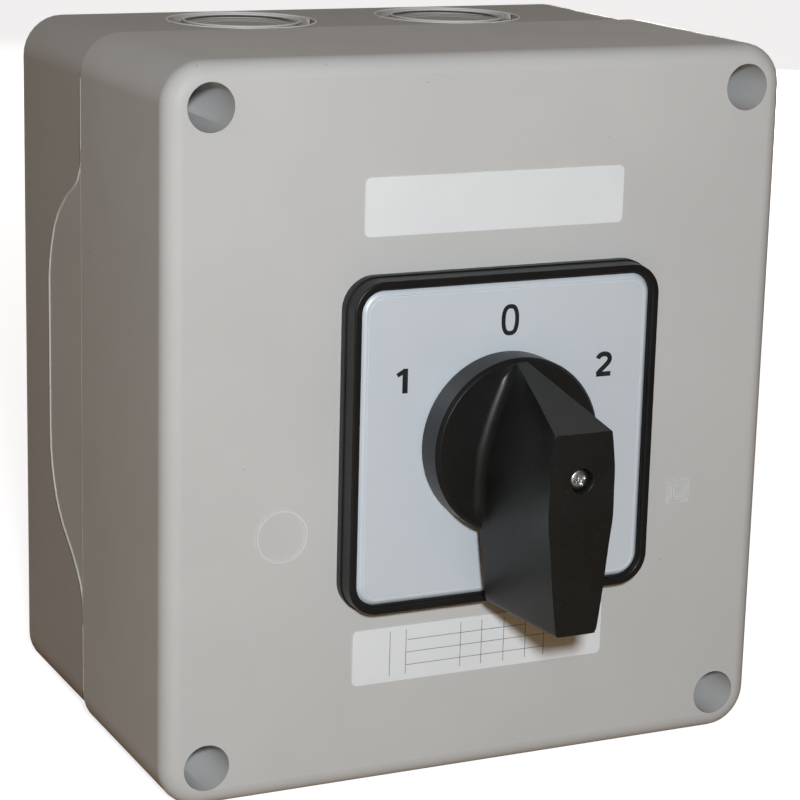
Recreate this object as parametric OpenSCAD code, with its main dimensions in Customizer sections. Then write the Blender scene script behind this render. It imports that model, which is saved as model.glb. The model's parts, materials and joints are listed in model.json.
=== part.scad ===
// Enclosed reversing drum switch: a rotary cam switch hung behind the cover of a two-part box.
// Every piece is drawn lying on its back, with z running out of the wall, and stood up at the end.
// Position 0 is at rest; the handle turns 60 degrees each way to positions 1 and 2.

/* [Box] */
// Width of the cover
box_w = 174; // [170:1:200]
// Height of the cover
box_h = 191; // [186:1:220]
// Depth from the wall to the cover's front face
box_d = 117; // [113:1:140]
// Depth of the base, from the wall to the parting plane
base_d = 53; // [50:1:60]
// How far the cover stands proud of the base on each side
base_step = 0.8; // [0.5:0.1:1.2]
// Radius of the upright corners, seen from the front
corner_r = 11; // [10:0.5:14]
// Rounding between the cover's front face and its sides
edge_r = 5; // [3:0.5:6]
// Rounding along the base's wall edge
base_edge_r = 2.5; // [1.5:0.5:3]
// Thickness of the cover's side walls
cover_wall = 2.8; // [2.6:0.1:3.2]
// Thickness of the base's floor
floor_t = 4; // [3:0.5:6]
// Thickness of the cover's front wall
front_t = 3.5; // [3:0.5:5]

/* [Apron] */
// How far the cover's side aprons reach past the parting plane
apron_drop = 28; // [20:1:32]
// How far the aprons lie back from the cover's sides
apron_step = 0.4; // [0.2:0.1:0.6]
// Height at which the apron's upper curve leaves the parting plane
apron_top = 66; // [60:1:68]
// Height at which the upper curve reaches full depth
apron_high = 30; // [20:1:36]
// Height at which the lower curve leaves full depth, below the centre
apron_low = 18; // [10:1:24]
// Height at which the lower curve meets the parting plane, below the centre
apron_bottom = 65; // [60:1:66]
// Clearance between the apron and the base
apron_gap = 0.3; // [0.2:0.05:0.5]

/* [Seal] */
// Thickness of the base's sealing tongue
tongue_t = 1.6; // [1.4:0.1:1.8]
// Height of the tongue above the parting plane
tongue_h = 3; // [2:0.5:4]
// Height of the gasket in the cover's groove
gasket_h = 2.5; // [2:0.5:4]
// Side clearance of the tongue in the groove
groove_gap = 0.4; // [0.3:0.05:0.6]
// Thickness of the rib inside the groove
rib_t = 1.5; // [1.2:0.1:2]
// Thickness of the ledge behind the gasket
ledge_t = 2.5; // [2:0.5:4]
// Radius of the corner notch that leads the seal round a screw
notch_r = 10.5; // [10:0.5:12]

/* [Cover screws] */
// Distance of a screw from the cover's side
screw_inset_x = 11.7; // [11.5:0.1:13]
// Distance of a screw from the cover's top or bottom
screw_inset_y = 11.1; // [11:0.1:13]
// Radius of the screw wells
well_r = 6.15; // [5.5:0.05:6.3]
// Height of the wells' floor above the parting plane
well_floor = 14; // [12:1:20]
// Radius of a cover screw's shank
cover_screw_r = 2.45; // [2:0.05:2.5]
// Length of a cover screw's shank
cover_screw_l = 28; // [25:1:32]
// Radius of a cover screw's head
cover_head_r = 4.6; // [4:0.1:5]
// Height of a cover screw's head
cover_head_h = 3.4; // [3:0.1:4]
// Outer radius of a threaded insert
insert_r = 3.6; // [3.3:0.1:4]
// Length of a threaded insert
insert_l = 12; // [8:1:14]

/* [Knockouts and wall holes] */
// Radius of a cable knockout
knockout_r = 20.25; // [16.25:0.25:20.5]
// Distance between the two knockouts' centres
knockout_pitch = 63; // [56:1:70]
// Depth of a knockout's recess
knockout_sink = 1.4; // [1:0.1:1.8]
// Width of the parting groove round a knockout
knockout_groove = 1.2; // [0.8:0.1:1.6]
// Membrane left under the grooves
membrane_t = 1; // [0.8:0.1:1.2]
// Distance of a wall screw from the cover's side
wall_inset_x = 27; // [25:1:32]
// Distance of a wall screw from the cover's top or bottom
wall_inset_y = 20.5; // [18.5:0.5:26]
// Radius of the wall screw holes
wall_hole_r = 2.75; // [2:0.05:3]
// Radius of the collar round a wall hole
wall_collar_r = 7; // [5:0.5:8]
// Height of that collar
wall_collar_h = 3; // [2:0.5:5]

/* [Dial] */
// Offset of the switch axis to the right of the box's centre
dial_x = 3; // [0:0.5:5]
// Offset of the switch axis below the box's centre
dial_drop = 3; // [0:0.5:6]
// Side of the square frame
frame_w = 88; // [84:1:90]
// Corner radius of the frame
frame_r = 12; // [8:0.5:14]
// Thickness of the frame
frame_t = 7.2; // [6.5:0.1:9]
// Width of the frame's rim
rim_w = 2.3; // [2:0.1:3]
// Width of the lip inside the rim
lip_w = 0.7; // [0.5:0.1:1]
// Depth of that lip
lip_t = 0.6; // [0.3:0.1:0.8]
// How far the frame's front tier is set back from the rear tier
tier_step = 0.7; // [0.4:0.1:1]
// Width of the groove between the tiers
tier_groove = 0.5; // [0.3:0.1:0.8]
// Thickness of the legend plate
legend_t = 1; // [0.8:0.1:1.2]
// How far the legend plate lies below the rim
legend_sink = 0.9; // [0.7:0.1:1.2]
// Thickness of the gasket under the frame
pad_t = 1; // [0.8:0.1:1.5]
// Height of the two stickers
label_h = 15; // [10:1:18]
// Width of the two stickers
label_w = 73.5; // [60:0.5:84]
// Thickness of the stickers
label_t = 0.2; // [0.1:0.05:0.3]
// Space between the frame and the upper sticker
top_label_gap = 9.5; // [6:0.5:14]
// Space between the frame and the lower sticker
low_label_gap = 5.8; // [4:0.1:10]

/* [Handle] */
// Radius of the handle's disc
disc_r = 23.3; // [20:0.1:26]
// Thickness of the disc
disc_t = 8.9; // [7:0.1:11]
// Chamfer on the disc's front edge
disc_chamfer = 0.9; // [0.5:0.1:1.5]
// Gap between the disc and the legend plate
disc_gap = 0.5; // [0.3:0.1:1]
// Height of the handle from the disc's back to the grip's face
handle_h = 42; // [38:0.5:46]
// Reach of the grip's pointed end at the disc
tip_y = 22.6; // [19:0.1:23]
// Reach of the grip's long end at the disc
tail_y = 40.6; // [36:0.1:44]
// Width of the grip at the disc
root_w = 20.8; // [19:0.1:23]
// Width of the grip's face
face_w = 18; // [16:0.1:19]
// Reach of the grip's face towards the point
face_top = 12; // [10:0.5:14]
// Reach of the grip's face towards the long end
face_tail = 39.6; // [36:0.1:43]
// Depth of the finger hollows in the grip's flanks
hollow = 2.4; // [1.5:0.1:3]
// Rounding of the grip's face edge
grip_edge = 0.7; // [0.4:0.1:1]
// Radius of the handle's spigot
spigot_r = 9; // [8.5:0.1:9.5]
// Radius of the handle screw's hole in the face
cap_r = 3.1; // [3:0.1:3.4]
// Radius of the handle screw's head
cap_head_r = 2.8; // [2.5:0.1:2.9]
// Radius of the handle screw's shank
cap_screw_r = 1.5; // [1.2:0.1:1.6]

/* [Switch] */
// Side of the square switch body
deck_w = 76; // [74:1:80]
// Free space between the end plate and the base's floor
stack_room = 18.5; // [16:0.5:20]
// Reach of the terminal ledges past the switch body
ledge_l = 12; // [11:0.5:14]
// Side of the square shaft
shaft_w = 10; // [9:0.5:11]
// Radius of the shaft's front journal
journal_r = 7.5; // [7.5:0.1:8]
// Radius of the cams' hubs
hub_r = 9; // [8.8:0.1:9.5]
// Mean radius of the cam
cam_r = 14; // [13.5:0.1:14.5]
// Travel of a contact bridge from position 0 to a closed contact
travel = 3; // [2:0.25:3]
// Turn from position 0 to position 1 or 2, in degrees
throw = 60; // [45:5:60]
// Thickness of the copper strips and bridges
copper_t = 2; // [1.5:0.25:2.5]
// Thickness of a contact tip
tip_t = 1.2; // [0.8:0.1:1.5]
// Radius of the terminal screws
terminal_r = 2.5; // [2:0.1:2.6]
// Thickness of the link bars between terminals
link_t = 1.5; // [1:0.25:2]
// Depth of the latch housing in front of the decks
latch_h = 17; // [16:0.5:18]
// Thickness of the latch plate and of the housing's front
latch_wall = 4; // [3.5:0.5:5]
// Mean radius of the star wheel
star_r = 17.5; // [17:0.5:18]
// Depth of the star wheel's detent notches
star_dip = 1.8; // [1.5:0.1:2.5]
// Thickness of the star wheel
star_t = 7; // [6:0.5:8]
// Thickness of the end plate
end_t = 4; // [3:0.5:5]
// Spacing of the tie rods
rod_pitch = 62; // [61:0.5:63]
// Radius of the tie rods
rod_r = 2; // [1.8:0.1:2.2]
// Distance of a mounting screw from the dial frame's edge
mount_inset = 10; // [9.5:0.5:11]
// Radius of the mounting screws
mount_r = 2.4; // [2:0.1:2.5]

/* [Earth bar] */
// Length of the earth bar
earth_l = 54; // [50:1:70]
// Width and thickness of the earth bar
earth_w = 9; // [8:0.5:11]
// Height of the posts under the bar
earth_post_h = 10; // [8:1:14]
// Distance of the earth bar from the cover's bottom
earth_inset = 22.5; // [21:0.5:24]
// Radius of the earth screws
earth_screw_r = 2; // [1.5:0.1:2.2]

/* [Hidden] */
$fn = 64;

// Overrun of the cuts, running clearance of journals, and clearance of drop-in pieces
over = 1;
run_gap = 0.05;
fit_gap = 0.1;
// Clearance between a cam and its plungers, and of turning pieces end to end
cam_gap = 0.3;
end_gap = 0.1;
deck_n = 3;
SIDES = [-1, 1];
CORNERS = [[-1, -1], [1, -1], [1, 1], [-1, 1]];

// The base's side walls are thick enough to carry the tongue inside the cover's wall
base_wall = cover_wall - base_step + tongue_t + groove_gap;
// Half sizes of the outer walls and of the sealing lines, seen from the front
cover_x = box_w / 2;
cover_y = box_h / 2;
base_x = cover_x - base_step;
base_y = cover_y - base_step;
bowl_x = base_x - base_wall;
bowl_y = base_y - base_wall;
screw_x = cover_x - screw_inset_x;
screw_y = cover_y - screw_inset_y;
tongue_z = base_d + tongue_h;
gasket_z = tongue_z + gasket_h;
well_z = base_d + well_floor;
// Gap that keeps the cover's rim off the base
rim_gap = 0.3;
// Offsets of the sealing lines from the bowl's wall
tongue_off = tongue_t;
groove_off = tongue_t + groove_gap;
seal_lap = 0.9;
groove_in = -groove_gap - seal_lap;
rib_in = groove_in - rib_t;
bowl_r = 4;
// Half pitches of the wall holes, and the earth bar's depth below the centre
wall_x = cover_x - wall_inset_x;
wall_y = cover_y - wall_inset_y;
earth_drop = cover_y - earth_inset;

// Levels of the switch, counted out from the wall
stack_z = box_d - front_t;
latch_z = stack_z - latch_h;
plate_z = latch_z - latch_wall;
deck_h = (plate_z - end_t - floor_t - stack_room) / deck_n;
deck_z = [for (k = [1:deck_n]) plate_z - k * deck_h];
end_z = deck_z[deck_n - 1] - end_t;
frame_z = box_d + frame_t;
legend_z = frame_z - legend_sink;
pocket_z = legend_z - legend_t;
handle_z = legend_z + disc_gap;
disc_z = handle_z + disc_t;
face_z = handle_z + handle_h;
shaft_top = handle_z + handle_h * 0.65;
half_deck = deck_w / 2;
// What a deck holds, as shares of its height: floor, contact strips, cam and terminal screws
floor_share = 3 / 22;
strip_share = 8 / 22;
lift_share = 7 / 22;
cam_share = 12 / 22;
deck_floor = deck_h * floor_share;
bridge_w = deck_h * strip_share;
strip_lift = deck_h * lift_share;
cam_t = deck_h * cam_share;
cam_lift = strip_lift + (bridge_w - cam_t) / 2;
// The stack's contact planes, counted out from the axis
bore_r = hub_r + run_gap;
spigot_room = 1.5;
// Room round the pieces that move in their chambers, and thin dividing walls
room = 1;
thin_wall = 0.5;
chamber_r = cam_r + travel + room;
strip_x = chamber_r + thin_wall;
pad_x = strip_x + copper_t;
tip_x = pad_x + tip_t;
closed_gap = 0.1;
bridge_x = tip_x + closed_gap + travel + tip_t;
bridge_out = bridge_x + copper_t;
chamber_x = half_deck - latch_wall;
chamber_y = 24;
contact_y = 18;
pad_l = 7;
bridge_l = 2 * contact_y + pad_l;
terminal_share = 0.58;
terminal_y = half_deck + ledge_l * terminal_share;
ledge_x0 = 8;
ledge_fin = 12;
fin_t = 2;
guide_y = bridge_w / 2 + fit_gap;
peg_r = bridge_w * 0.2125;
peg_l = 1.5;
spring_r = bridge_w * 0.325;
wire_r = 0.45;
spring_turns = 4;
link_gap = 1;
link_y = half_deck + ledge_l + link_gap;
link_rise = 5;
head_t = 3;

// The base's colour, the cover's, and the other finishes
GREY = [0.72, 0.72, 0.71];
BLACK = [0.07, 0.07, 0.075];
STEEL = [0.75, 0.76, 0.78];
COPPER = [0.78, 0.47, 0.28];
BRASS = [0.8, 0.66, 0.33];
PLATE = [0.78, 0.8, 0.84];
RUBBER = [0.12, 0.12, 0.12];
CREAM = [0.88, 0.85, 0.76];
WHITE = [0.93, 0.93, 0.92];
BLUE = [0.2, 0.33, 0.5];

// Stands the piece up: out of the wall becomes towards the front
module stand() rotate([90, 0, 0]) children();
// Moves a piece to the switch's axis
module on_axis() translate([dial_x, -dial_drop, 0]) children();

// A rectangle with round corners, centred
module round_rect(w, h, r) {
    square([w - 2 * r, h], center = true);
    square([w, h - 2 * r], center = true);
    for (c = CORNERS) translate([c[0] * (w / 2 - r), c[1] * (h / 2 - r)]) circle(r);
}
// A plate from one level to another
module slab(z0, z1) translate([0, 0, z0]) linear_extrude(z1 - z0) children();
// A round bar from one level to another
module post(z0, z1, r) translate([0, 0, z0]) cylinder(h = z1 - z0, r = r);
module at_screws() for (c = CORNERS) translate([c[0] * screw_x, c[1] * screw_y, 0]) children();
module at_square(pitch) for (c = CORNERS) translate([c[0] * pitch / 2, c[1] * pitch / 2, 0]) children();
// A closed box with round corners and one rounded face edge, its round face up or down
module soft_box(w, h, z0, z1, r, e, up) hull() for (c = CORNERS)
    translate([c[0] * (w / 2 - r), c[1] * (h / 2 - r), 0]) {
        post(up ? z0 : z0 + e, up ? z1 - e : z1, r, $fn = 32);
        translate([0, 0, up ? z1 - e : z0 + e])
            rotate_extrude($fn = 32) translate([r - e, 0]) circle(e, $fn = 32);
    }

// The area inside the seal: the bowl's outline grown by off, led inside each screw
module seal_area(off) difference() {
    round_rect(2 * (bowl_x + off), 2 * (bowl_y + off), bowl_r + off);
    for (c = CORNERS) translate([c[0] * screw_x, c[1] * screw_y]) scale([c[0], c[1]]) {
        circle(notch_r - off);
        translate([-(notch_r - off), 0]) square([corner_r + notch_r, corner_r + notch_r]);
        translate([0, -(notch_r - off)]) square([corner_r + notch_r, corner_r + notch_r]);
    }
}

// The apron's outline in height and depth: a swept curve above and an arc below, grown by gap
apron_n = 14;
arc_chord = apron_bottom - apron_low;
arc_r = (arc_chord * arc_chord + apron_drop * apron_drop) / (2 * apron_drop);
arc_end = asin(arc_chord / arc_r);
function apron_points(gap) = concat(
    [[apron_top + 2 * gap, over], [apron_top + 2 * gap, -gap]],
    [for (i = [1:apron_n]) let(t = i / apron_n)
        [apron_top + (apron_high - apron_top) * t + gap, -apron_drop * (1 - cos(180 * t)) / 2 - gap]],
    [for (i = [0:apron_n]) let(a = arc_end * i / apron_n)
        [-apron_low - (arc_r + gap) * sin(a), -apron_drop + arc_r - (arc_r + gap) * cos(a)]],
    [[-apron_bottom - 2 * gap, over]]);
// One side's apron as a slab from x0 to x1
module apron_slab(x0, x1, gap) translate([x0, 0, base_d]) rotate([90, 0, 90])
    linear_extrude(x1 - x0) polygon(apron_points(gap));

// A knockout in the top wall, cut from outside along y at the wall's outer face
KNOCKOUT_SHARES = [1, 0.8, 0.62];
module knockout_cut() {
    deep = base_wall - membrane_t;
    face_y = base_y + over;
    module ring(ro, ri, sink) rotate([90, 0, 0]) difference() {
        translate([0, 0, -face_y]) cylinder(h = sink + over, r = ro);
        translate([0, 0, -face_y - over]) cylinder(h = sink + 3 * over, r = ri);
    }
    for (s = SIDES) translate([s * knockout_pitch / 2, 0, base_d / 2]) {
        rotate([90, 0, 0]) translate([0, 0, -face_y])
            cylinder(h = knockout_sink + over, r = knockout_r - knockout_groove);
        for (share = KNOCKOUT_SHARES) ring(knockout_r * share, knockout_r * share - knockout_groove, deep);
        for (q = SIDES) translate([q * knockout_r, face_y - over / 2 - knockout_sink / 2, 0])
            cube([2 * knockout_groove, knockout_sink + over, knockout_groove], center = true);
    }
}
module base() stand() color(GREY) difference() {
    union() {
        soft_box(2 * base_x, 2 * base_y, 0, base_d, corner_r, base_edge_r, false);
        slab(floor_t, tongue_z) difference() {
            seal_area(tongue_off);
            seal_area(0);
        }
    }
    difference() {
        slab(floor_t, tongue_z + over) seal_area(0);
        for (c = CORNERS) translate([c[0] * wall_x, c[1] * wall_y, 0])
            post(0, floor_t + wall_collar_h, wall_collar_r);
        translate([0, -earth_drop, 0]) for (s = SIDES) translate([s * earth_end, 0, 0])
            post(0, floor_t + earth_post_h, earth_w / 2);
    }
    for (c = CORNERS) translate([c[0] * wall_x, c[1] * wall_y, 0])
        post(-over, floor_t + wall_collar_h + over, wall_hole_r);
    for (s = SIDES) translate([s * earth_end, -earth_drop, 0])
        post(floor_t, floor_t + earth_post_h + over, earth_screw_r + run_gap);
    at_screws() {
        post(base_d - insert_l, base_d + over, insert_r);
        post(well_z - cover_screw_l - 2 * over, base_d, cover_screw_r + 2 * fit_gap);
    }
    for (s = SIDES) scale([s, 1, 1]) apron_slab(bowl_x + tongue_off, cover_x + over, apron_gap);
    for (s = SIDES) scale([1, s, 1]) knockout_cut();
}
module threaded_inserts() stand() color(BRASS) at_screws() difference() {
    post(base_d - insert_l, base_d, insert_r);
    post(base_d - insert_l - over, base_d + over, cover_screw_r + run_gap);
}

// The earth bar on its two posts
earth_end = earth_l / 2 - earth_w / 2;
earth_n = 5;
earth_pitch = 2 * (earth_end - earth_w) / (earth_n - 1) * 0.9;
earth_z = floor_t + earth_post_h;
module earth_bar() stand() color(BRASS) translate([0, -earth_drop, 0]) difference() {
    translate([-earth_l / 2, -earth_w / 2, earth_z]) cube([earth_l, earth_w, earth_w]);
    for (s = SIDES) translate([s * earth_end, 0, 0])
        post(earth_z - over, earth_z + earth_w + over, earth_screw_r + run_gap);
    for (i = [0:earth_n - 1]) translate([(i - (earth_n - 1) / 2) * earth_pitch, 0, 0]) {
        post(earth_z + earth_w / 2, earth_z + earth_w + over, earth_screw_r + run_gap);
        translate([0, earth_w / 2 + over, earth_z + earth_w * 0.35]) rotate([90, 0, 0])
            cylinder(h = earth_w + 2 * over, r = earth_w * 0.22);
    }
}
module screw(z_head, r, l, head_r, head_h, slot_w) difference() {
    union() {
        post(z_head - l, z_head, r);
        post(z_head, z_head + head_h, head_r);
    }
    for (a = [0, 90]) rotate([0, 0, a])
        translate([-head_r * 0.6, -slot_w / 2, z_head + head_h * 0.45]) cube([head_r * 1.2, slot_w, head_h]);
}
module earth_screws() stand() color(STEEL) translate([0, -earth_drop, 0]) {
    for (s = SIDES) translate([s * earth_end, 0, 0])
        screw(earth_z + earth_w, earth_screw_r, earth_w + earth_post_h * 0.8, earth_screw_r * 1.7,
            earth_screw_r, earth_screw_r / 2);
    for (i = [0:earth_n - 1]) translate([(i - (earth_n - 1) / 2) * earth_pitch, 0, 0])
        screw(earth_z + earth_w, earth_screw_r, earth_w * 0.42, earth_screw_r * 1.5,
            earth_screw_r * 0.9, earth_screw_r / 2);
}

module cover() stand() color(GREY) difference() {
    union() {
        soft_box(box_w, box_h, base_d + rim_gap, box_d, corner_r, edge_r, true);
        for (s = SIDES) scale([s, 1, 1])
            apron_slab(bowl_x + tongue_off + fit_gap + apron_gap, cover_x - apron_step, 0);
    }
    difference() {
        slab(base_d - over, gasket_z) seal_area(groove_off);
        slab(base_d + rim_gap, gasket_z + over) difference() {
            seal_area(groove_in);
            seal_area(rib_in);
        }
    }
    slab(gasket_z - over, gasket_z + ledge_t + over) seal_area(rib_in);
    slab(gasket_z + ledge_t, stack_z) seal_area(groove_off);
    at_screws() {
        post(well_z, box_d + over, well_r);
        post(base_d - over, well_z + over, cover_screw_r + 3 * fit_gap);
    }
    on_axis() {
        post(stack_z - over, box_d + over, spigot_r + spigot_room);
        at_square(mount_pitch) post(stack_z - over, box_d + over, mount_r + 3 * fit_gap);
    }
}
module cover_gasket() stand() color(RUBBER) slab(tongue_z, gasket_z) difference() {
    seal_area(groove_off - fit_gap);
    seal_area(groove_in + fit_gap);
}
module cover_screws() stand() color(STEEL) at_screws()
    screw(well_z, cover_screw_r, cover_screw_l, cover_head_r, cover_head_h, cover_head_r * 0.22);

// The dial: frame, gasket, legend plate and stickers
pocket_w = frame_w - 2 * (tier_step + rim_w + lip_w);
pocket_r = frame_r - tier_step - rim_w - lip_w;
// Heights of the stickers' centres over the box's centre
top_label_y = frame_w / 2 - dial_drop + top_label_gap + label_h / 2;
low_label_y = -frame_w / 2 - dial_drop - low_label_gap - label_h / 2;
mount_head_r = mount_r * 1.8;
mount_seat = pocket_z - mount_r * 1.25;
mount_pitch = frame_w - 2 * mount_inset;
pad_inset = 4;
pad_w = frame_w - 2 * pad_inset;
tier_z = box_d + frame_t * 0.48;
seal_t = 2.7;
seal_w = 3;
seal_rim = 2;
seal_r = spigot_r + seal_w;
module dial_frame() stand() on_axis() color(BLACK) difference() {
    union() {
        slab(box_d, tier_z) round_rect(frame_w, frame_w, frame_r);
        slab(box_d, tier_z + tier_groove)
            round_rect(frame_w - 3 * tier_step, frame_w - 3 * tier_step, frame_r - 1.5 * tier_step);
        slab(tier_z + tier_groove, frame_z)
            round_rect(frame_w - 2 * tier_step, frame_w - 2 * tier_step, frame_r - tier_step);
    }
    slab(frame_z - lip_t, frame_z + over)
        round_rect(pocket_w + 2 * lip_w, pocket_w + 2 * lip_w, pocket_r + lip_w);
    slab(pocket_z, frame_z + over) round_rect(pocket_w, pocket_w, pocket_r);
    slab(box_d - over, box_d + pad_t) difference() {
        square(pad_w, center = true);
        circle(seal_r + seal_rim);
        at_square(mount_pitch) circle(mount_head_r);
    }
    post(box_d - over, pocket_z + over, spigot_r + run_gap);
    post(box_d - over, box_d + seal_t, seal_r);
    at_square(mount_pitch) {
        post(box_d - over, pocket_z + over, mount_r + 3 * fit_gap);
        post(mount_seat, pocket_z + over, mount_head_r + 2 * fit_gap);
    }
}
module frame_gasket() stand() on_axis() color(RUBBER) slab(box_d, box_d + pad_t) difference() {
    square(pad_w - 2 * fit_gap, center = true);
    circle(seal_r + seal_rim + fit_gap);
    at_square(mount_pitch) circle(mount_head_r + fit_gap);
}
module legend_plate() stand() on_axis() color(PLATE) slab(pocket_z, legend_z) difference() {
    round_rect(pocket_w - 2 * fit_gap, pocket_w - 2 * fit_gap, pocket_r - fit_gap);
    circle(spigot_r + spigot_room);
}
module mounting_screws() stand() on_axis() color(STEEL) at_square(mount_pitch)
    screw(mount_seat, mount_r, mount_seat - stack_z + ear_t - 2 * room, mount_head_r, mount_r * 1.1,
        mount_r / 2);
module top_label() stand() color(WHITE) translate([dial_x * 0.8, top_label_y, 0])
    slab(box_d, box_d + label_t) round_rect(label_w, label_h, label_h * 0.1);
module rating_label() stand() color(WHITE) translate([dial_x * 0.5, low_label_y, 0])
    slab(box_d, box_d + label_t) round_rect(label_w, label_h, label_h * 0.1);

// The grip: a loft from the root outline on the disc to the face, hollowed along its flanks.
// Each row is one station down a flank: root height and width, face height and width, hollow
GRIP_SHARES = [[1, 0.12, 1, 0.87, 0], [0.75, 0.43, 0.67, 0.93, 0.8], [0.35, 0.77, 0.25, 0.99, 1],
    [-0.04, 0.98, -0.09, 1, 0.7], [-0.3, 1, -0.25, 1, 0.3], [-0.52, 0.97, -0.43, 0.91, 0.1],
    [-0.76, 0.86, -0.7, 0.79, 0], [-0.95, 0.76, -0.95, 0.65, 0], [-1, 0.68, -1, 0.57, 0]];
grip_rows = len(GRIP_SHARES);
grip_levels = 8;
root_z = disc_z - disc_chamfer;
function reach(share, up, down) = share > 0 ? share * up : share * down;
function grip_point(i, t) = let(s = GRIP_SHARES[i])
    [s[1] * root_w / 2 * (1 - t) + s[3] * face_w / 2 * t - hollow * s[4] * sin(180 * t),
     reach(s[0], tip_y, tail_y) * (1 - t) + reach(s[2], face_top, face_tail) * t];
function grip_ring(t, inset, z) = concat(
    [for (i = [0:grip_rows - 1]) let(p = grip_point(i, t)) [inset - p[0], p[1] - sign(p[1]) * inset, z]],
    [for (i = [grip_rows - 1:-1:0]) let(p = grip_point(i, t)) [p[0] - inset, p[1] - sign(p[1]) * inset, z]]);
module grip() {
    rings = concat([for (k = [0:grip_levels]) let(t = k / grip_levels)
        grip_ring(t, 0, root_z + (face_z - grip_edge - root_z) * t)], [grip_ring(1, grip_edge, face_z)]);
    n = len(rings[0]);
    last = len(rings) - 1;
    polyhedron([for (r = rings) each r], concat(
        [[for (i = [0:n - 1]) i]],
        [for (k = [0:last - 1], i = [0:n - 1]) let(j = (i + 1) % n)
            each [[k * n + i, (k + 1) * n + i, (k + 1) * n + j], [k * n + i, (k + 1) * n + j, k * n + j]]],
        [[for (i = [n - 1:-1:0]) last * n + i]]));
}
spigot_lift = 1.5;
spigot_z = stack_z + spigot_lift;
cap_drop = 3.6;
module square_bar(z0, z1, w) translate([-w / 2, -w / 2, z0]) cube([w, w, z1 - z0]);
module handle() stand() on_axis() color(BLACK) difference() {
    union() {
        grip();
        post(handle_z, disc_z - disc_chamfer, disc_r);
        translate([0, 0, disc_z - disc_chamfer])
            cylinder(h = disc_chamfer, r1 = disc_r, r2 = disc_r - disc_chamfer);
        post(spigot_z, handle_z + over, spigot_r);
    }
    square_bar(spigot_z - over, shaft_top + fit_gap, shaft_w + fit_gap);
    post(shaft_top, face_z + over, cap_screw_r + fit_gap);
    post(face_z - cap_drop, face_z + over, cap_r);
}
module handle_screw() stand() on_axis() color(STEEL)
    screw(face_z - cap_drop, cap_screw_r, (face_z - cap_drop - shaft_top) * 1.5, cap_head_r, cap_drop * 0.6,
        cap_screw_r / 3);
module shaft() stand() on_axis() color(STEEL) difference() {
    union() {
        post(end_z, deck_z[deck_n - 1], shaft_w * 0.55);
        square_bar(deck_z[deck_n - 1] + end_gap, stack_z - latch_wall, shaft_w);
        post(deck_z[deck_n - 1] - end_gap, deck_z[deck_n - 1] + 2 * end_gap, shaft_w * 0.48);
        post(stack_z - latch_wall - end_gap, stack_z + end_gap, journal_r);
        square_bar(stack_z, shaft_top, shaft_w);
    }
    post(shaft_top - (face_z - cap_drop - shaft_top), shaft_top + over, cap_screw_r + run_gap);
}
module shaft_seal() stand() on_axis() color(RUBBER) difference() {
    post(box_d, box_d + seal_t, seal_r - fit_gap);
    post(box_d - over, box_d + seal_t + over, spigot_r + run_gap);
}

// The latch: a six-lobed star, two leaf springs with a nose in its notches, and an end stop
star_gap = 0.5;
star_z = latch_z + star_gap;
finger_z = star_z + star_t + cam_gap;
finger_r = 24;
finger_half = 9;
leaf_t = 1;
leaf_gap = 1.2;
leaf_x = star_r + star_dip + leaf_gap;
leaf_room = 2.5;
leaf_y = 28;
nose_w = 6;
star_n = 90;
lobes = 6;
stop_half = throw + finger_half;
stop_slack = 0.5;
// The housing's flange takes the mounting screws in blind holes
ear_w = 8;
ear_t = 7;
flange_w = mount_pitch + 2 * ear_w;
module wedge(r, a0, a1) polygon(concat([[0, 0]], [for (i = [0:8]) let(a = a0 + (a1 - a0) * i / 8)
    [r * cos(a), r * sin(a)]]));
module latch_housing() stand() on_axis() color(CREAM) difference() {
    union() {
        slab(latch_z, stack_z - latch_wall) round_rect(deck_w, deck_w, latch_wall);
        slab(stack_z - ear_t, stack_z) round_rect(flange_w, flange_w, 2 * latch_wall);
    }
    slab(latch_z - over, finger_z - end_gap) {
        circle(star_r + star_dip + leaf_gap + room);
        for (s = SIDES) translate([s * (leaf_x + leaf_t), 0])
            square([leaf_t + 2 * leaf_room, 2 * (leaf_y + fit_gap)], center = true);
    }
    slab(finger_z - over, stack_z - latch_wall) {
        circle(hub_r + 2 * room);
        difference() {
            circle(finger_r + room);
            rotate([0, 0, 90]) wedge(2 * finger_r, stop_half + stop_slack, 360 - stop_half - stop_slack);
        }
    }
    post(latch_z - over, stack_z + over, journal_r + run_gap);
    at_square(mount_pitch) post(stack_z - ear_t + room, stack_z + over, mount_r + run_gap);
    at_square(rod_pitch) post(latch_z - over, latch_z + latch_h * 0.4, rod_r + run_gap);
}
module latch_plate() stand() on_axis() color(CREAM) slab(plate_z, latch_z) difference() {
    round_rect(deck_w, deck_w, latch_wall);
    circle(bore_r);
    at_square(rod_pitch) circle(rod_r + fit_gap);
}
function star_point(a) = let(r = star_r - star_dip * cos(lobes * a)) [r * cos(a), r * sin(a)];
module star_wheel() stand() on_axis() color(CREAM) difference() {
    union() {
        slab(star_z, star_z + star_t) polygon([for (i = [0:star_n - 1]) star_point(360 * i / star_n)]);
        post(plate_z + end_gap, stack_z - latch_wall - end_gap, hub_r);
        slab(finger_z, stack_z - latch_wall - cam_gap) intersection() {
            circle(finger_r);
            rotate([0, 0, 90]) wedge(2 * finger_r, -finger_half, finger_half);
        }
    }
    square_bar(plate_z - over, stack_z, shaft_w + fit_gap);
}
module detent_springs() stand() on_axis() color(STEEL) for (s = SIDES) scale([s, 1, 1])
    slab(star_z, star_z + star_t - fit_gap) {
        translate([leaf_x, -leaf_y]) square([leaf_t, 2 * leaf_y]);
        polygon([[leaf_x, -nose_w / 2], [leaf_x, nose_w / 2], [star_r - star_dip + cam_gap, nose_w / 8],
            [star_r - star_dip + cam_gap, -nose_w / 8]]);
    }

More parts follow.
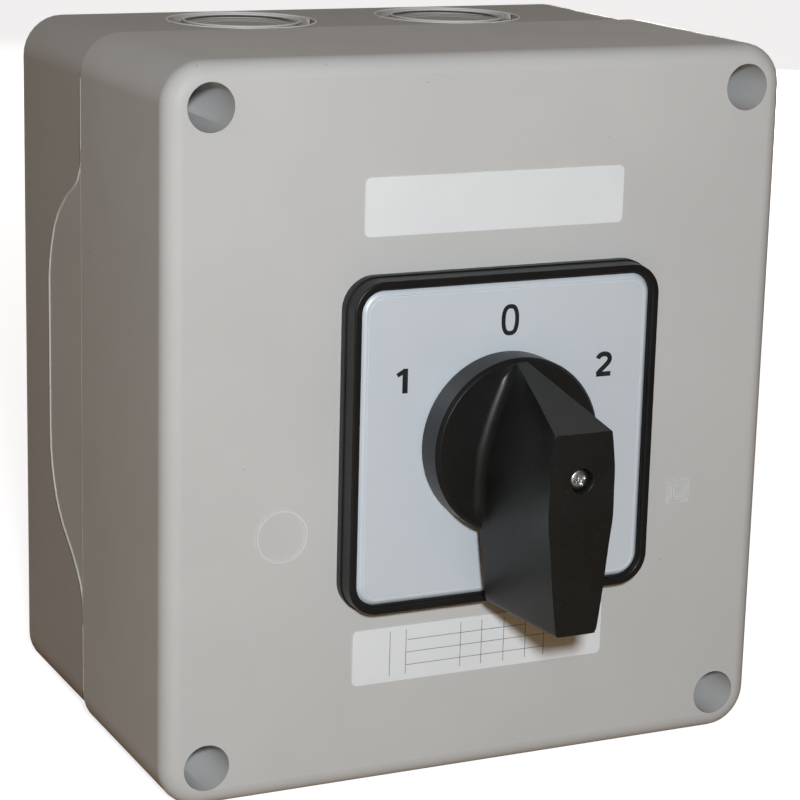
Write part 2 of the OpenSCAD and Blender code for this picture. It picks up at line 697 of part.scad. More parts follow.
// One deck: a square housing with a cam chamber, two bridge chambers and four terminal ledges
module deck_area() {
    round_rect(deck_w, deck_w, latch_wall);
    for (c = CORNERS) scale([c[0], c[1]])
        translate([ledge_x0, half_deck - latch_wall]) square([strip_x - ledge_x0, ledge_l + latch_wall]);
}
module fin_area() for (c = CORNERS) scale([c[0], c[1]])
    translate([ledge_x0, half_deck - latch_wall])
        square([strip_x - ledge_x0 + ledge_fin, ledge_l + latch_wall]);
module deck(k) stand() on_axis() color(CREAM) translate([0, 0, deck_z[k - 1]]) difference() {
    union() {
        slab(0, deck_h) deck_area();
        slab(0, fin_t) fin_area();
    }
    post(-over, deck_h + over, bore_r);
    post(deck_floor, deck_h + over, chamber_r);
    slab(deck_floor, deck_h + over) for (s = SIDES) scale([s, 1])
        translate([pad_x + thin_wall, -chamber_y])
            square([chamber_x - pad_x - thin_wall, 2 * chamber_y]);
    slab(strip_lift, deck_h + over) {
        square([2 * (chamber_x - room), 2 * guide_y], center = true);
        for (c = CORNERS) scale([c[0], c[1]]) {
            translate([strip_x - fit_gap, contact_y - pad_l]) square([copper_t + 2 * fit_gap, half_deck]);
            translate([strip_x - fit_gap, contact_y - pad_l])
                square([copper_t + 2 * room, chamber_y - contact_y + pad_l]);
        }
    }
    at_square(rod_pitch) post(-over, deck_h + over, rod_r + fit_gap);
    for (c = CORNERS) scale([c[0], c[1], 1])
        translate([ledge_x0 + fin_t, terminal_y, strip_lift + bridge_w / 2]) rotate([0, 90, 0])
            cylinder(h = strip_x, r = terminal_r + fit_gap);
}

// A cam: the radius falls steadily through one half turn and rises through the other
lift_rate = travel / throw;
function cam_radius(a) = let(b = a > 180 ? a - 360 : a)
    abs(b) <= throw ? cam_r - lift_rate * b :
    abs(b) >= 180 - throw ? cam_r - lift_rate * sign(b) * (180 - abs(b)) : cam_r - travel * sign(b);
module cam(k) stand() on_axis() color(BLUE) translate([0, 0, deck_z[k - 1]]) difference() {
    union() {
        slab(cam_lift, cam_lift + cam_t) polygon([for (i = [0:5:355])
            let(r = cam_radius(i)) [r * cos(i), r * sin(i)]]);
        post(end_gap, deck_h - end_gap, hub_r);
    }
    square_bar(-over, deck_h + over, shaft_w + fit_gap);
}

// A plunger between a cam and its bridge, side -1 on the left and 1 on the right
nose_r = 2.5;
stem_x = cam_r + cam_gap;
module plunger(k, side) stand() on_axis() color(BLACK)
    translate([0, 0, deck_z[k - 1] + strip_lift]) scale([side, 1, 1]) {
        translate([stem_x + nose_r, -bridge_w / 2, 0]) cube([bridge_x - stem_x - nose_r, bridge_w, bridge_w]);
        translate([stem_x + nose_r, 0, 0]) post(0, bridge_w, nose_r);
        translate([bridge_x - fit_gap, 0, bridge_w / 2]) rotate([0, 90, 0])
            cylinder(h = copper_t + peg_l + fit_gap, r = peg_r);
    }
module bridge(k, side) stand() on_axis() color(COPPER)
    translate([0, 0, deck_z[k - 1] + strip_lift]) scale([side, 1, 1]) difference() {
        union() {
            translate([bridge_x, -bridge_l / 2, 0]) cube([copper_t, bridge_l, bridge_w]);
            for (s = SIDES) translate([bridge_x - tip_t, s * contact_y - pad_l / 2, 0])
                cube([tip_t + fit_gap, pad_l, bridge_w]);
        }
        translate([bridge_x - over, 0, bridge_w / 2]) rotate([0, 90, 0])
            cylinder(h = copper_t + 2 * over, r = peg_r + run_gap);
    }
// A coil spring along x from x0 to x1, swept as one closed tube
wire_sides = 6;
turn_steps = 8;
module coil(x0, x1) {
    steps = spring_turns * turn_steps;
    span = x1 - x0 - 2 * wire_r - 2 * fit_gap;
    points = [for (i = [0:steps], j = [0:wire_sides - 1])
        let(a = 360 * i / turn_steps, b = 360 * j / wire_sides)
        [x0 + wire_r + fit_gap + span * i / steps + wire_r * sin(b), (spring_r + wire_r * cos(b)) * cos(a),
         (spring_r + wire_r * cos(b)) * sin(a)]];
    faces = concat([[for (j = [0:wire_sides - 1]) j]],
        [for (i = [0:steps - 1], j = [0:wire_sides - 1]) let(m = (j + 1) % wire_sides, p = i * wire_sides,
            q = p + wire_sides) each [[p + j, q + j, q + m], [p + j, q + m, p + m]]],
        [[for (j = [wire_sides - 1:-1:0]) steps * wire_sides + j]]);
    polyhedron(points, faces);
}
module contact_springs() stand() on_axis() color(STEEL)
    for (k = [1:deck_n], side = SIDES) scale([side, 1, 1])
        translate([0, 0, deck_z[k - 1] + strip_lift + bridge_w / 2]) coil(bridge_out, chamber_x);

// The four fixed contact strips of a deck, each running out to its terminal
module fixed_contacts(k) stand() on_axis() color(COPPER)
    for (c = CORNERS) scale([c[0], c[1], 1])
        translate([0, 0, deck_z[k - 1] + strip_lift]) difference() {
            union() {
                translate([strip_x, contact_y - pad_l / 2, 0])
                    cube([copper_t, half_deck + ledge_l - contact_y + pad_l / 2, bridge_w]);
                translate([pad_x - fit_gap, contact_y - pad_l / 2, 0])
                    cube([tip_t + fit_gap, pad_l, bridge_w]);
            }
            translate([strip_x - over, terminal_y, bridge_w / 2]) rotate([0, 90, 0])
                cylinder(h = copper_t + 2 * over, r = terminal_r + run_gap);
        }
module terminal_screws() stand() on_axis() color(STEEL)
    for (k = [1:deck_n], c = CORNERS) scale([c[0], c[1], 1])
        translate([0, terminal_y, deck_z[k - 1] + strip_lift + bridge_w / 2]) rotate([0, 90, 0])
            screw(pad_x + link_t, terminal_r, link_t + copper_t + strip_x * 0.45, terminal_r * 1.7, head_t,
                terminal_r / 3);

// A link bar: a leg under each terminal screw and a bar across, clear of the ledges
module link_leg(side, z, out) scale([side, 1, 1]) translate([pad_x, 0, z]) difference() {
    translate([0, terminal_y - bridge_w / 2, 0]) cube([link_t, out - terminal_y + bridge_w / 2, bridge_w]);
    translate([-over, terminal_y, bridge_w / 2]) rotate([0, 90, 0])
        cylinder(h = link_t + 2 * over, r = terminal_r + run_gap);
}
module link(z_left, z_right, out) {
    link_leg(-1, z_left, out);
    link_leg(1, z_right, out);
    if (z_left == z_right)
        translate([-pad_x - link_t, out - link_t, z_left]) cube([2 * (pad_x + link_t), link_t, bridge_w]);
    else hull() for (s = SIDES) translate([s * (pad_x + link_t / 2) - link_t / 2, out - link_t,
        s < 0 ? z_left : z_right]) cube([link_t, link_t, bridge_w]);
}
function strip_z(k) = deck_z[k - 1] + strip_lift;
module supply_links() stand() on_axis() color(COPPER)
    for (k = [1:deck_n]) link(strip_z(k), strip_z(k), link_y + link_t);
module reversing_links() stand() on_axis() color(COPPER) scale([1, -1, 1]) {
    link(strip_z(1), strip_z(1), link_y + link_t);
    link(strip_z(2), strip_z(3), link_y + link_t);
    link(strip_z(3), strip_z(2), link_y + link_t + link_rise);
}

// The clamp: end plate, tie rods and nuts
nut_r = rod_r * 1.9;
nut_h = rod_r * 1.6;
module end_plate() stand() on_axis() color(STEEL) slab(end_z, end_z + end_t) difference() {
    round_rect(deck_w, deck_w, latch_wall);
    circle(shaft_w * 0.55 + run_gap);
    at_square(rod_pitch) circle(rod_r + fit_gap);
}
module tie_rods() stand() on_axis() color(STEEL) at_square(rod_pitch)
    post(end_z - nut_h - room, latch_z + latch_h * 0.36, rod_r);
module tie_nuts() stand() on_axis() color(STEEL) at_square(rod_pitch) difference() {
    translate([0, 0, end_z - nut_h]) cylinder(h = nut_h, r = nut_r, $fn = 6);
    post(end_z - nut_h - over, end_z + over, rod_r + run_gap);
}

base();
threaded_inserts();
earth_bar();
earth_screws();
cover();
cover_gasket();
cover_screws();
dial_frame();
frame_gasket();
legend_plate();
mounting_screws();
top_label();
rating_label();
handle();
handle_screw();
shaft();
shaft_seal();
latch_housing();
latch_plate();
star_wheel();
detent_springs();
deck(1);  // deck_1
deck(2);  // deck_2
deck(3);  // deck_3
cam(1);  // cam_1
cam(2);  // cam_2
cam(3);  // cam_3
plunger(1, -1);  // plunger_1a
plunger(1, 1);  // plunger_1b
plunger(2, -1);  // plunger_2a
plunger(2, 1);  // plunger_2b
plunger(3, -1);  // plunger_3a
plunger(3, 1);  // plunger_3b
bridge(1, -1);  // bridge_1a
bridge(1, 1);  // bridge_1b
bridge(2, -1);  // bridge_2a
bridge(2, 1);  // bridge_2b
bridge(3, -1);  // bridge_3a
bridge(3, 1);  // bridge_3b
contact_springs();
fixed_contacts(1);  // fixed_contacts_1
fixed_contacts(2);  // fixed_contacts_2
fixed_contacts(3);  // fixed_contacts_3
terminal_screws();
supply_links();
reversing_links();
end_plate();
tie_rods();
tie_nuts();
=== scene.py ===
import bpy
import bmesh
import json
import math
from mathutils import Matrix, Vector


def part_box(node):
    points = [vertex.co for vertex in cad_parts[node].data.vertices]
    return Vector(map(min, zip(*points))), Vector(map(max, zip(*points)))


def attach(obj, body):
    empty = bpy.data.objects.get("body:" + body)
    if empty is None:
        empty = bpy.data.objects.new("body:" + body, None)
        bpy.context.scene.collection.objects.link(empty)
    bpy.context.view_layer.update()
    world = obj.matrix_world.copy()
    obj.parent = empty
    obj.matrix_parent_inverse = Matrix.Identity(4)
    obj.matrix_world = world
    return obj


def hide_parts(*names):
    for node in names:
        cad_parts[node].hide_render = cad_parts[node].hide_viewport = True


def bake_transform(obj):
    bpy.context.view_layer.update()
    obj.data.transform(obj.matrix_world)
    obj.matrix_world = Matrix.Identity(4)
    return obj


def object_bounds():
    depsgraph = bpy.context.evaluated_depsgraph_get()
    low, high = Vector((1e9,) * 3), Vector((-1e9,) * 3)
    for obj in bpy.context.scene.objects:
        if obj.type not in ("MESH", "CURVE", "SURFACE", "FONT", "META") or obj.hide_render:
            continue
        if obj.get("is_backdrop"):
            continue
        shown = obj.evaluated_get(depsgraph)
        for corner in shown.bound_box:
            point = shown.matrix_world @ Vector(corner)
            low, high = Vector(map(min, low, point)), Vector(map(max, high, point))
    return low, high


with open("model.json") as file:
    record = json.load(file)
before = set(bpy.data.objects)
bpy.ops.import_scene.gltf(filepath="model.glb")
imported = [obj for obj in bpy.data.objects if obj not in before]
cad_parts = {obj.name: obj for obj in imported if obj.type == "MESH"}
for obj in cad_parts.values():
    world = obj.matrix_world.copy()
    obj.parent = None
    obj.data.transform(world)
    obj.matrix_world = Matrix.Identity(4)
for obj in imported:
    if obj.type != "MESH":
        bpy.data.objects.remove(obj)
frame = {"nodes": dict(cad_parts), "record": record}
cad_lo, cad_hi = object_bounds()
nodes = frame["nodes"]
scene = bpy.context.scene
MM = 0.001
WELD = 2e-6  # distance at which the CAD meshes' split points are joined
ON_PLANE = 2e-5  # how near a point lies to a plane that it belongs to


# ---------------------------------------------------------------- materials
def graph(name):
    m = bpy.data.materials.new(name)
    m.use_nodes = True
    t = m.node_tree
    return m, t.nodes, t.links, t.nodes["Principled BSDF"]


def noise(n, l, coords, scale, detail=3.0, rough=0.55):
    x = n.new("ShaderNodeTexNoise")
    x.inputs["Scale"].default_value = scale
    x.inputs["Detail"].default_value = detail
    x.inputs["Roughness"].default_value = rough
    l.new(coords, x.inputs["Vector"])
    return x.outputs["Fac"]


def spread(n, l, fac, lo, hi, a=0.3, b=0.7):
    x = n.new("ShaderNodeMapRange")
    x.inputs["From Min"].default_value = a
    x.inputs["From Max"].default_value = b
    x.inputs["To Min"].default_value = lo
    x.inputs["To Max"].default_value = hi
    l.new(fac, x.inputs["Value"])
    return x.outputs["Result"]


def blend_colours(n, l, fac, a, b, p=0.3, q=0.7):
    x = n.new("ShaderNodeValToRGB")
    x.color_ramp.elements[0].position = p
    x.color_ramp.elements[1].position = q
    x.color_ramp.elements[0].color = (*a, 1)
    x.color_ramp.elements[1].color = (*b, 1)
    l.new(fac, x.inputs["Fac"])
    return x.outputs["Color"]


def surface(name, a, b, rough, mottle, grain, depth, metallic=0.0, specular=0.5, speck=None,
            brushed=None):
    """A finish whose colour drifts from a to b, with a fine grain in relief and in gloss."""
    m, n, l, s = graph(name)
    co = n.new("ShaderNodeTexCoord").outputs["Object"]
    colour = blend_colours(n, l, noise(n, l, co, mottle, 4.0), a, b)
    if speck:
        dot, scale, amount = speck
        spots = spread(n, l, noise(n, l, co, scale, 2.0), 0.0, 1.0, 1 - amount, 1 - amount + 0.05)
        mix = n.new("ShaderNodeMix")
        mix.data_type = "RGBA"
        l.new(spots, mix.inputs[0])
        l.new(colour, mix.inputs[6])
        mix.inputs[7].default_value = (*dot, 1)
        colour = mix.outputs[2]
    l.new(colour, s.inputs["Base Color"])
    gco = co
    if brushed:
        mp = n.new("ShaderNodeMapping")
        mp.inputs["Scale"].default_value = brushed
        l.new(co, mp.inputs["Vector"])
        gco = mp.outputs["Vector"]
    fine = noise(n, l, gco, grain, 3.0, 0.6)
    l.new(spread(n, l, fine, rough[0], rough[1]), s.inputs["Roughness"])
    bump = n.new("ShaderNodeBump")
    bump.inputs["Strength"].default_value = 1.0
    bump.inputs["Distance"].default_value = depth
    l.new(fine, bump.inputs["Height"])
    l.new(bump.outputs["Normal"], s.inputs["Normal"])
    s.inputs["Metallic"].default_value = metallic
    s.inputs["Specular IOR Level"].default_value = specular
    return m


M = {
    "cover_grey": surface("cover_grey", (0.565, 0.565, 0.562), (0.60, 0.60, 0.596), (0.38, 0.50), 22.0, 1500.0,
                          0.000010, specular=0.12, speck=((0.33, 0.32, 0.30), 420.0, 0.235)),
    # a lighter grey for raised rims and marks: a painted highlight where their edges catch the light
    "painted_highlight_grey": surface("painted_highlight_grey", (0.64, 0.64, 0.635), (0.70, 0.70, 0.695), (0.30, 0.42), 22.0, 1500.0,
                         0.00001, specular=0.3),
    "box_grey": surface("box_grey", (0.475, 0.465, 0.45), (0.51, 0.50, 0.485), (0.42, 0.55), 20.0, 1500.0,
                        0.000012, specular=0.10, speck=((0.33, 0.32, 0.30), 420.0, 0.235)),
    "frame_black": surface("frame_black", (0.005, 0.005, 0.0055), (0.009, 0.0095, 0.0095), (0.34, 0.48), 60.0, 1800.0,
                           0.000012, specular=0.4),
    "handle_black": surface("handle_black", (0.007, 0.0072, 0.0072), (0.0115, 0.012, 0.012), (0.30, 0.46), 70.0,
                            2600.0, 0.000022, specular=0.35, speck=((0.035, 0.035, 0.035), 2300.0, 0.33)),
    "legend_silver": surface("legend_silver", (0.66, 0.72, 0.79), (0.70, 0.76, 0.82), (0.36, 0.48), 26.0, 2400.0,
                             0.000004, metallic=0.12, specular=0.5),
    "sticker": surface("sticker", (0.80, 0.83, 0.86), (0.85, 0.87, 0.89), (0.30, 0.40), 40.0, 1600.0, 0.000006,
                       specular=0.45),
    "ink": surface("ink", (0.010, 0.011, 0.014), (0.022, 0.023, 0.028), (0.35, 0.50), 300.0, 3000.0, 0.000004,
                   specular=0.4),
    "line_ink": surface("line_ink", (0.16, 0.15, 0.16), (0.25, 0.24, 0.25), (0.45, 0.60), 500.0, 3000.0, 0.000003,
                        specular=0.3),
    "seal_rubber": surface("seal_rubber", (0.018, 0.018, 0.018), (0.035, 0.034, 0.033), (0.62, 0.85), 90.0, 1400.0,
                           0.00004, specular=0.3),
    "zinc_steel": surface("zinc_steel", (0.55, 0.56, 0.57), (0.72, 0.73, 0.75), (0.24, 0.42), 260.0, 1500.0,
                          0.00002, metallic=1.0),
    "spring_steel": surface("spring_steel", (0.50, 0.51, 0.53), (0.66, 0.67, 0.70), (0.18, 0.32), 300.0, 2200.0,
                            0.00001, metallic=1.0, brushed=(8.0, 1.0, 1.0)),
    "brass": surface("brass", (0.66, 0.48, 0.20), (0.80, 0.62, 0.30), (0.22, 0.40), 180.0, 1600.0, 0.00001,
                     metallic=1.0, brushed=(1.0, 9.0, 1.0)),
    "copper": surface("copper", (0.66, 0.34, 0.20), (0.80, 0.46, 0.30), (0.22, 0.42), 140.0, 1500.0, 0.00001,
                      metallic=1.0, brushed=(1.0, 1.0, 10.0)),
    "switch_cream": surface("switch_cream", (0.66, 0.62, 0.50), (0.73, 0.69, 0.58), (0.42, 0.58), 50.0, 1500.0,
                            0.00002, specular=0.4, speck=((0.50, 0.42, 0.30), 700.0, 0.25)),
    "cam_plastic": surface("cam_plastic", (0.020, 0.060, 0.150), (0.035, 0.085, 0.20), (0.36, 0.52), 80.0, 1600.0,
                           0.00002, specular=0.45),
    "plunger_black": surface("plunger_black", (0.014, 0.014, 0.015), (0.028, 0.028, 0.029), (0.36, 0.50), 90.0,
                             1800.0, 0.00002, specular=0.45),
}


def coat(obj, material, body=None, replaces=()):
    obj.data.materials.clear()
    obj.data.materials.append(M[material])
    if body:
        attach(obj, body)
    if replaces:
        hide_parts(*replaces)
    return obj


# Every CAD node takes the finish of its material slot
for part in frame["record"]["subparts"]:
    node = nodes[part["node"]]
    node.data.materials.clear()
    node.data.materials.append(M[part["material_slot"]])


# ---------------------------------------------------------------- mesh helpers
def add(name, bm, sharp=32.0):
    """Makes an object of a bmesh, smooth but for its sharp edges."""
    bmesh.ops.recalc_face_normals(bm, faces=bm.faces[:])
    me = bpy.data.meshes.new(name)
    bm.to_mesh(me)
    bm.free()
    me.polygons.foreach_set("use_smooth", [True] * len(me.polygons))
    me.set_sharp_from_angle(angle=math.radians(sharp))
    obj = bpy.data.objects.new(name, me)
    scene.collection.objects.link(obj)
    w = obj.modifiers.new("weighted", "WEIGHTED_NORMAL")
    w.keep_sharp = True
    w.weight = 90
    return obj


def loops(bm, rings, cap_first=True, cap_last=True, closed=False):
    """Joins rings of equal length with quads."""
    vs = [[bm.verts.new(p) for p in r] for r in rings]
    n = len(vs[0])
    pairs = list(zip(vs, vs[1:])) + ([(vs[-1], vs[0])] if closed else [])
    for a, b in pairs:
        for i in range(n):
            j = (i + 1) % n
            bm.faces.new((a[i], a[j], b[j], b[i]))
    if not closed:
        if cap_first:
            bm.faces.new(vs[0][::-1])
        if cap_last:
            bm.faces.new(vs[-1])
    return vs


def round_square(cx, cz, hx, hz, r, y, seg=12):
    """A ring of points round a rectangle with round corners, in a plane of constant y."""
    out = []
    for sx, sz, a0 in ((1, 1, 0), (-1, 1, 90), (-1, -1, 180), (1, -1, 270)):
        for k in range(seg + 1):
            a = math.radians(a0 + 90 * k / seg)
            out.append(Vector((cx + sx * (hx - r) + r * math.cos(a), y, cz + sz * (hz - r) + r * math.sin(a))))
    return out


def circle(cx, cz, r, y, seg=64):
    return [Vector((cx + r * math.cos(2 * math.pi * k / seg), y, cz + r * math.sin(2 * math.pi * k / seg)))
            for k in range(seg)]


def refined(node, name, picks, redraw=None):
    """A welded copy of a CAD node's mesh with the picked sharp edges rounded."""
    bm = bmesh.new()
    bm.from_mesh(nodes[node].data)
    bmesh.ops.remove_doubles(bm, verts=bm.verts[:], dist=WELD)
    bmesh.ops.dissolve_limit(bm, angle_limit=math.radians(0.4), verts=bm.verts[:], edges=bm.edges[:])
    if redraw:
        redraw(bm)
    for test, width, segs in picks:
        edges = [e for e in bm.edges if len(e.link_faces) == 2 and e.calc_face_angle() > math.radians(35)
                 and all(test(v.co) for v in e.verts)]
        bmesh.ops.bevel(bm, geom=edges, offset=width, offset_type="OFFSET", segments=segs, profile=0.5,
                        affect="EDGES", clamp_overlap=True, loop_slide=False)
    return add(name, bm)


# ---------------------------------------------------------------- the two halves of the box
WELLS = [(sx * 75.3 * MM, sz * 84.4 * MM) for sx in (-1, 1) for sz in (-1, 1)]
FRONT = -117 * MM
PART = -53 * MM  # the plane where cover and base part
WELL_R = 6.4 * MM
APRON_X, APRON_Z, APRON_MAX = 86.6 * MM, 66.5 * MM, 29 * MM
KNOCK_X, KNOCK_Y, KNOCK_Z = 31.5 * MM, -26.5 * MM, 94.7 * MM

# Reach of the aprons past the parting plane against height, read from the photograph, in mm
APRON = [(-62, 0.0), (-58.2, 0.5), (-54.5, 2.3), (-51.1, 5.2), (-47.9, 8.7), (-44.8, 13.0), (-41.7, 17.3),
         (-38.4, 20.7), (-34.7, 23.4), (-30.9, 25.2), (-27.0, 26.7), (-22.0, 27.7), (-16.0, 28.0), (27.0, 28.0),
         (32.3, 26.9), (36.7, 25.3), (41.2, 23.2), (45.9, 19.4), (51.2, 12.7), (54.2, 7.0), (56.7, 3.4),
         (61.1, 0.5), (64, 0.0)]


def new_reach(z):
    for (z0, r0), (z1, r1) in zip(APRON, APRON[1:]):
        if z0 <= z <= z1:
            return r0 + (r1 - r0) * (z - z0) / (z1 - z0)
    return 0.0


def old_reach(z):
    """The solid's own curve: a swept line above and an arc below."""
    if z > 66 or z < -65:
        return 0.0
    if z > 30:
        return 28 * (1 - math.cos(math.pi * (66 - z) / 36)) / 2
    if z > -18:
        return 28.0
    r = (47 * 47 + 28 * 28) / 56
    return 28 - r + math.sqrt(max(0.0, r * r - (z + 18) ** 2))


def redraw_apron(bm, side):
    """Moves the edge of the aprons, or of the steps they lie on, to the curve of the photograph."""
    on_curve = 1.6
    lowest = PART + 0.1 * MM
    mark = [v for v in bm.verts if abs(v.co.x) > side and v.co.y > PART + 0.35 * MM
            and v.co.y < PART + APRON_MAX and abs(v.co.z) < APRON_Z]
    for v in mark:
        z, d = v.co.z / MM, (v.co.y - PART) / MM
        if abs(d - old_reach(z)) < on_curve:
            v.co.y = PART + (d + new_reach(z) - old_reach(z)) * MM
            if v.co.y < lowest:
                v.co.y = lowest


def on_well_mouth(p):
    return abs(p.y - FRONT) < 1e-5 and any(math.hypot(p.x - x, p.z - z) < WELL_R for x, z in WELLS)


def on_apron_edge(p):
    return abs(abs(p.x) - APRON_X) < ON_PLANE and p.y > PART + 1e-4


def on_cover_rim(p):
    """The outer edge only: the strip beside the aprons is 0.4 mm wide."""
    return abs(p.y - (PART - 0.3 * MM)) < ON_PLANE and math.hypot(max(abs(p.x) - 76 * MM, 0),
                                                              max(abs(p.z) - 84.5 * MM, 0)) > 10.9 * MM


cover = refined("cover", "cover_shell", [(on_well_mouth, 0.35 * MM, 3), (on_apron_edge, 0.25 * MM, 2),
                                         (on_cover_rim, 0.25 * MM, 2)], lambda bm: redraw_apron(bm, 80 * MM))
coat(cover, "cover_grey", "cover", replaces=["cover"])


def on_base_rim(p):
    return abs(p.y - PART) < ON_PLANE and (abs(p.x) > 84.5 * MM or abs(p.z) > 93 * MM)


def on_step(p):
    return (abs(p.x) > 86.1 * MM and PART + 0.05 * MM < p.y < PART + APRON_MAX
            and abs(p.z) < APRON_Z)


def on_knockout(p):
    return abs(abs(p.z) - KNOCK_Z) < ON_PLANE and any(
        math.hypot(p.x - s * KNOCK_X, p.y - KNOCK_Y) < 21 * MM for s in (-1, 1))


base = refined("base", "base_shell", [(on_base_rim, 0.25 * MM, 2), (on_step, 0.45 * MM, 3),
                                      (on_knockout, 0.3 * MM, 2)], lambda bm: redraw_apron(bm, 80 * MM))
coat(base, "box_grey", "base", replaces=["base"])


def tube(bm, path, r, seg=8):
    """A round bar along a path that keeps to a plane of constant x."""
    a = Vector((1, 0, 0))
    rings = []
    for k, p in enumerate(path):
        d = (path[min(k + 1, len(path) - 1)] - path[max(k - 1, 0)]).normalized()
        b = d.cross(a).normalized()
        rings.append([p + (a * math.cos(2 * math.pi * j / seg) + b * math.sin(2 * math.pi * j / seg)) * r
                      for j in range(seg)])
    loops(bm, rings)


# Fine beads on the edges of the two shells where they meet, which catch the light
bm = bmesh.new()
for s in (-1, 1):
    edge = [Vector((s * 86.72 * MM, PART - 0.55 * MM, z * MM)) for z in (84.0, 78.0, 72.0, 66.0)]
    k = 63.0
    while k > -63.5:
        edge.append(Vector((s * 86.56 * MM, PART + (new_reach(k) - 0.35) * MM, k * MM)))
        k -= 1.0
    edge += [Vector((s * 86.72 * MM, PART - 0.55 * MM, z * MM)) for z in (-66.0, -72.0, -78.0, -84.0)]
    tube(bm, edge, 0.42 * MM)
    tube(bm, [Vector((s * 86.86 * MM, PART - 0.5 * MM, z * MM)) for z in range(62, -63, -4)], 0.2 * MM)
coat(add("cover_beads", bm, 60), "cover_grey", "cover")

# Fine raised rims round the knockouts in the base's top and bottom, in a lighter grey that is a painted highlight on
# their edges
bm = bmesh.new()
for sx in (-1, 1):
    for sz in (-1, 1):
        for big in (20.55 * MM, 16.0 * MM):
            section = [(big + 0.3 * MM * math.cos(math.pi * j / 4),
                        sz * (KNOCK_Z + 0.3 * MM * math.sin(math.pi * j / 4))) for j in range(8)]
            loops(bm, [[Vector((sx * KNOCK_X + r * math.cos(math.pi * k / 28),
                                KNOCK_Y + r * math.sin(math.pi * k / 28), z)) for k in range(56)]
                       for r, z in section], closed=True)
coat(add("knockout_rims", bm, 60), "painted_highlight_grey", "base")

# Raised rings on the cover's front: a bare ring at the left and a plain double square at the right, in a lighter grey
# that is a painted highlight on their edges
bm = bmesh.new()
for cx, cz, outer, r_out, inner, r_in, raised, seg in (
        (-55.5, -25, 7.0, 6.99, 6.5, 6.49, 0.36, 16),
        (60.5, -24.6, 3.25, 0.25, 3.25 - 0.42, 0.1, 0.4, 3),
        (60.5, -24.6, 1.75, 0.25, 1.75 - 0.42, 0.1, 0.4, 3)):
    foot, crest = FRONT + 0.1 * MM, FRONT - raised * MM
    loops(bm, [round_square(cx * MM, cz * MM, h * MM, h * MM, r * MM, y, seg)
               for h, r, y in ((outer, r_out, foot), (outer, r_out, crest), (inner, r_in, crest),
                               (inner, r_in, foot))], closed=True)
coat(add("cover_marks", bm), "painted_highlight_grey", "cover")

# ---------------------------------------------------------------- dial
AX, AZ = 3 * MM, -3 * MM  # the switch's axis
DX = 3.8 * MM  # middle of the frame's outer rings
lo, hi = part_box("dial_frame")
RIM = lo.y
lo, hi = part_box("legend_plate")
PLATE, PLATE_BACK = lo.y, hi.y


def dial_ring(inset, up, seg=14):
    """A ring of the frame: inset from its edge and height over the cover's front, in mm."""
    h = 44 - inset
    r = max(8.6 - 0.95 * inset, 4.4) if inset < 6 else 0.99 * h
    return round_square(DX if inset < 6 else AX, AZ, h * MM, h * MM, r * MM, FRONT - up * MM, seg)


def arc(u0, v0, u1, v1, cu, cv, n=3):
    """Points of a quarter round from (u0, v0) to (u1, v1) about (cu, cv)."""
    a0, a1 = math.atan2(v0 - cv, u0 - cu), math.atan2(v1 - cv, u1 - cu)
    if a1 - a0 > math.pi:
        a1 -= 2 * math.pi
    if a0 - a1 > math.pi:
        a1 += 2 * math.pi
    r = math.hypot(u0 - cu, v0 - cv)
    return [(cu + r * math.cos(a0 + (a1 - a0) * k / n), cv + r * math.sin(a0 + (a1 - a0) * k / n))
            for k in range(n + 1)]


T = (FRONT - RIM) / MM
floor_up = (FRONT - PLATE_BACK) / MM
profile = [(0.15, 0.0), (0.0, 0.15), (0.0, 2.2), (0.06, 2.32), (0.30, 2.38), (0.36, 2.5)]
profile += arc(0.55, T - 0.45, 1.0, T, 1.0, T - 0.45, 4)
profile += arc(2.15, T, 2.5, T - 0.35, 2.15, T - 0.35, 4)
profile += [(2.5, T - 0.72), (2.56, T - 0.78), (2.78, T - 0.78), (2.84, T - 0.86), (2.84, floor_up),
            (30.0, floor_up), (34.9, floor_up), (34.9, 0.0), (30.0, 0.0)]
bm = bmesh.new()
loops(bm, [dial_ring(u, v) for u, v in profile], closed=True)
frame_piece = add("dial_frame_moulding", bm, 38)
coat(frame_piece, "frame_black", "cover", replaces=["dial_frame"])

# Legend plate: a silver sheet with a rolled edge and a fine pressed line inside it
bm = bmesh.new()
up = (FRONT - PLATE) / MM
plate_line = [(2.95, floor_up), (2.95, floor_up + 0.12)]
plate_line += [(2.95 + 1.25 * math.sin(math.radians(a)), floor_up + 0.12 + (up - floor_up - 0.12) * k)
               for a, k in ((14, 0.36), (26, 0.62), (40, 0.82), (56, 0.94), (72, 0.985), (90, 1.0))]
plate_line += [(4.45, up), (4.55, up - 0.16), (4.85, up - 0.16), (4.95, up), (12.0, up), (33.4, up),
               (33.4, floor_up), (12.0, floor_up)]
loops(bm, [dial_ring(u, v) for u, v in plate_line], closed=True)
coat(add("legend_sheet", bm, 40), "legend_silver", "cover", replaces=["legend_plate"])


def stroke(bm, pts, width, y0, y1, closed=False):
    """A flat line of constant width along points (x, z), as a closed thin solid from y0 to y1."""
    n = len(pts)
    left, right = [], []
    for k in range(n):
        a = pts[(k - 1) % n] if closed or k else pts[k]
        b = pts[(k + 1) % n] if closed or k < n - 1 else pts[k]
        d = Vector((b[0] - a[0], b[1] - a[1]))
        d.normalize()
        m = Vector((-d.y, d.x))
        if 0 < k < n - 1 or closed:
            e = Vector((pts[k][0] - a[0], pts[k][1] - a[1])).normalized()
            q = Vector((-e.y, e.x))
            m = m / max(0.5, m.dot(q))
        left.append((pts[k][0] + m.x * width / 2, pts[k][1] + m.y * width / 2))
        right.append((pts[k][0] - m.x * width / 2, pts[k][1] - m.y * width / 2))
    if closed:
        loops(bm, [[Vector((x, y, z)) for x, z in s] for s, y in
                   ((left, y0), (left, y1), (right, y1), (right, y0))], closed=True)
    else:
        rings = [[Vector((l[0], y0, l[1])), Vector((l[0], y1, l[1])), Vector((r[0], y1, r[1])),
                  Vector((r[0], y0, r[1]))] for l, r in zip(left, right)]
        loops(bm, rings)


